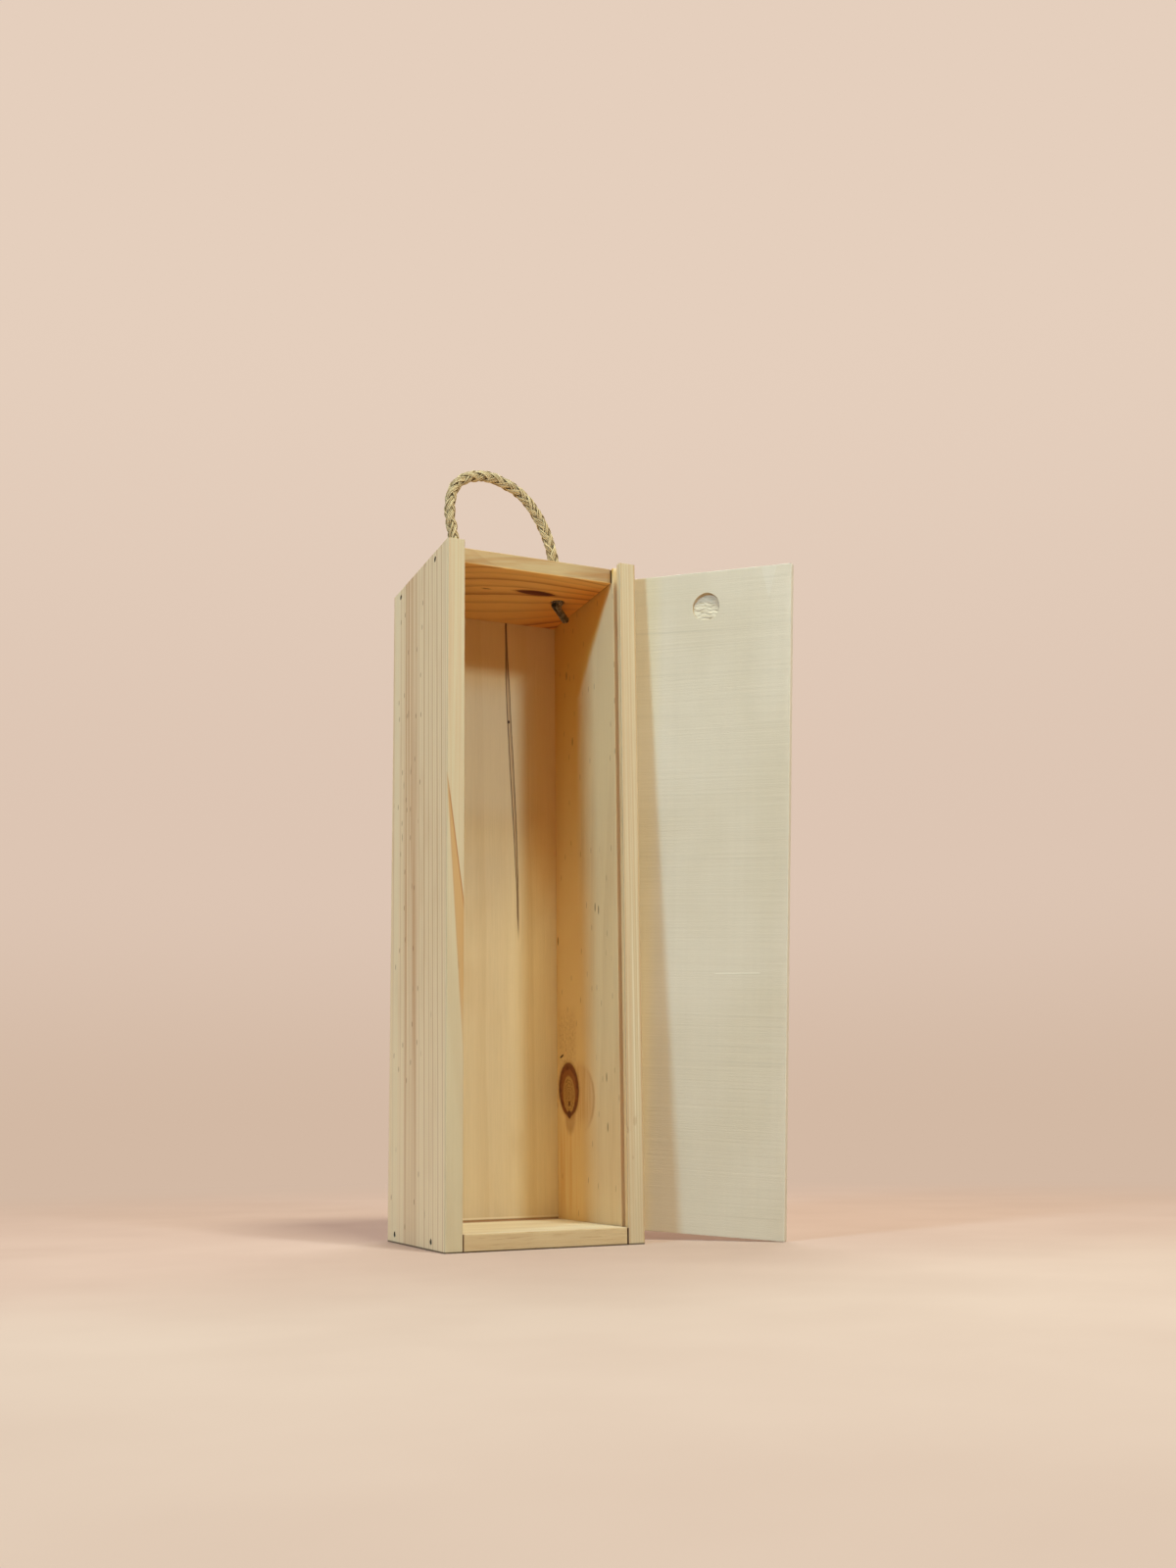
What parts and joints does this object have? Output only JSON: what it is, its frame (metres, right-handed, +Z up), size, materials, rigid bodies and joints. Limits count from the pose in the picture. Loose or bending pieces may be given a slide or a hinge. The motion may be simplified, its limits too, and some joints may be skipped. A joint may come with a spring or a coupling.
{
  "type": "wooden wine box",
  "caption": "Upright pine wine box, open in front, with its thin sliding lid taken out and leaned beside it, and a swinging rope handle through the top board.",
  "frame": {"origin": "middle of the box's footprint, on the surface it stands on", "axes": "+Z up along the height, -Y out of the open front, +X to the right side board that the lid leans on"},
  "size_m": [0.1679, 0.1543, 0.411],
  "materials": {
    "side_pine": "planed, unfinished",
    "end_pine": "planed, unfinished",
    "back_pine": "planed, unfinished",
    "lid_wood": "sawn and sanded, unfinished",
    "jute_rope": "braided, natural",
    "bar_steel": "dull, rolled",
    "brad_steel": "dull"
  },
  "bodies": {
    "box": {"left_side": "side_pine", "right_side": "side_pine", "top_board": "end_pine", "bottom_board": "end_pine", "back_panel": "back_pine", "rope_ends": "jute_rope", "rope_end_bars": "bar_steel", "left_side_brads": "brad_steel", "right_side_brads": "brad_steel", "back_panel_brads": "brad_steel"},
    "lid": {"sliding_lid": "lid_wood"},
    "handle": {"rope_arch": "jute_rope"}
  },
  "joints": [
    {"name": "lid_lift", "type": "slide", "parent": "box", "child": "lid", "axis": [0, 0, 1], "range_m": [0, 0.36]},
    {"name": "handle_swing", "type": "hinge", "parent": "box", "child": "handle", "pos_m": [0, 0, 0.3533], "axis": [1, 0, 0], "range_deg": [-60, 60]}
  ]
}
